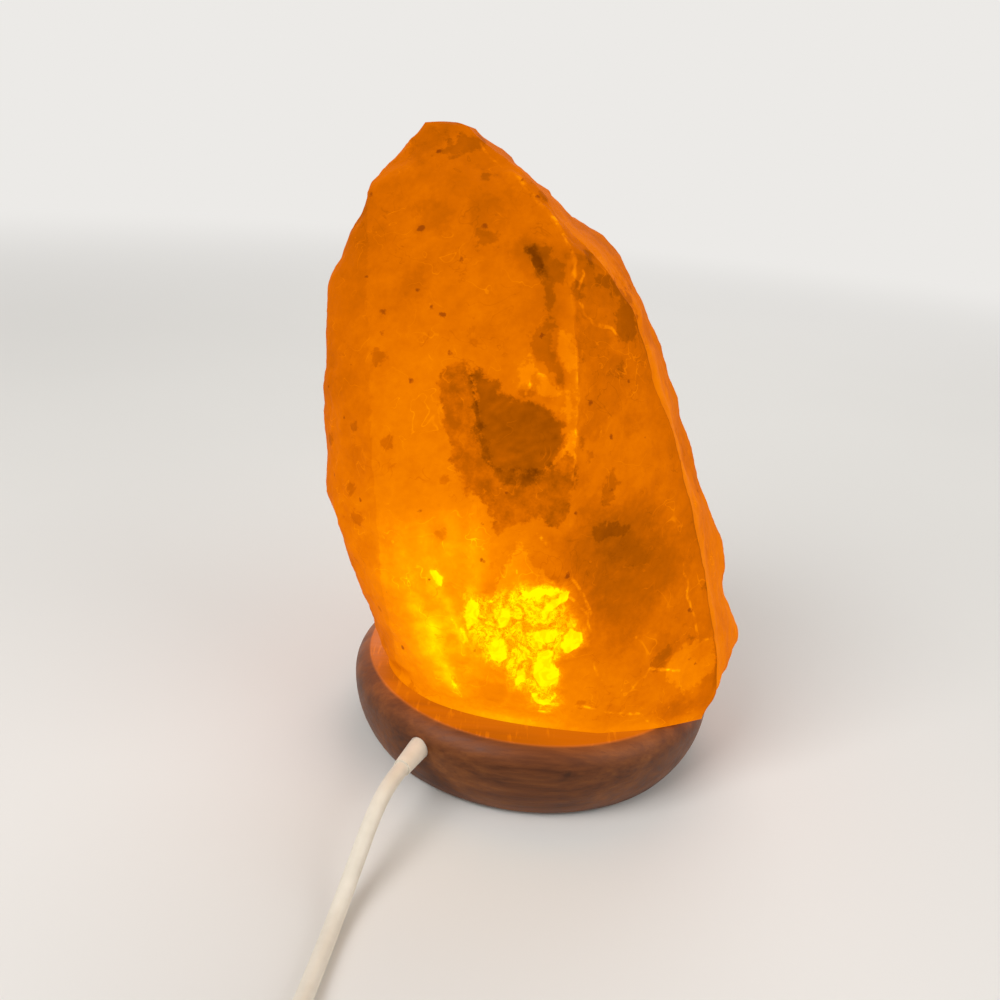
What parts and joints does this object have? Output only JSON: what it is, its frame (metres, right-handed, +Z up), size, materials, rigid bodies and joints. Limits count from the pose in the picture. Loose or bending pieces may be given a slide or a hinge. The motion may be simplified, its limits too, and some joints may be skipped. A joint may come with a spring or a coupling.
{
  "type": "salt crystal lamp",
  "caption": "Rough salt crystal lit from inside by a small screw-in bulb, on a round turned wooden base, with a pull-out lamp holder and a cord with a rocker switch and plug.",
  "frame": {"origin": "on the table, on the axis of the round base: the middle of the lamp's footprint without its cord", "axes": "+Z up, the lamp's axis; -Y is the front, with the crystal's sharp ridge; +X is the side where the crystal overhangs the base"},
  "size_m": [0.1875, 0.343, 0.2105],
  "materials": {
    "rock_salt": "rough crystal, glowing from the bulb inside",
    "pale_wood": "turned, thinly lacquered",
    "pad_rubber": "matte",
    "zinc_steel": "zinc plated",
    "spring_steel": "bright spring steel",
    "brass": "plain",
    "holder_plastic": "moulded, matte black",
    "insulator_glass": "dark glass",
    "bulb_cap_metal": "rolled",
    "bulb_glass": "clear",
    "stem_glass": "clear",
    "filament_glow": "glowing tungsten",
    "cord_pvc": "smooth off-white PVC",
    "core_brown": "smooth PVC",
    "switch_plastic": "moulded, satin off-white",
    "tie_plastic": "soft plastic band",
    "pin_nickel": "nickel plated",
    "sleeve_plastic": "moulded"
  },
  "bodies": {
    "root": {"salt_crystal": "rock_salt", "wooden_base": "pale_wood", "foot_pads": "pad_rubber", "crystal_screws": "zinc_steel", "screw_washers": "zinc_steel", "cord_bush": "cord_pvc", "cord_entry": "cord_pvc", "core_wires": "core_brown", "cord_lead": "cord_pvc", "cord_link": "cord_pvc", "cord_coil": "cord_pvc", "cord_tail": "cord_pvc", "coil_ties": "tie_plastic", "switch_base": "switch_plastic", "switch_cover": "switch_plastic", "switch_pin": "zinc_steel", "switch_contacts": "brass", "switch_screws": "zinc_steel", "plug_body": "switch_plastic", "plug_pins": "pin_nickel", "pin_sleeves": "sleeve_plastic"},
    "lamp_holder": {"holder_cap": "holder_plastic", "holder_body": "holder_plastic", "holder_ring": "holder_plastic", "spring_clip": "spring_steel", "holder_insert": "holder_plastic", "screw_shell": "brass", "centre_contact": "brass", "terminal_blocks": "brass", "terminal_screws": "zinc_steel"},
    "bulb": {"bulb_glass": "bulb_glass", "bulb_cap": "bulb_cap_metal", "cap_insulator": "insulator_glass", "tip_contact": "zinc_steel", "glass_stem": "stem_glass", "lead_wires": "spring_steel", "filament": "filament_glow"},
    "rocker": {"switch_rocker": "switch_plastic"}
  },
  "joints": [
    {"name": "holder_pull_out", "type": "slide", "parent": "root", "child": "lamp_holder", "axis": [0, 0, -1], "range_m": [0, 0.08], "deforming": ["core_wires"]},
    {"name": "bulb_unscrew", "type": "slide", "parent": "lamp_holder", "child": "bulb", "axis": [0, 0, 1], "range_m": [0, 0.02]},
    {"name": "rocker_tilt", "type": "hinge", "parent": "root", "child": "rocker", "pos_m": [-0.057, -0.2, 0.0128], "axis": [-1, 0, 0], "range_deg": [0, 14]}
  ]
}
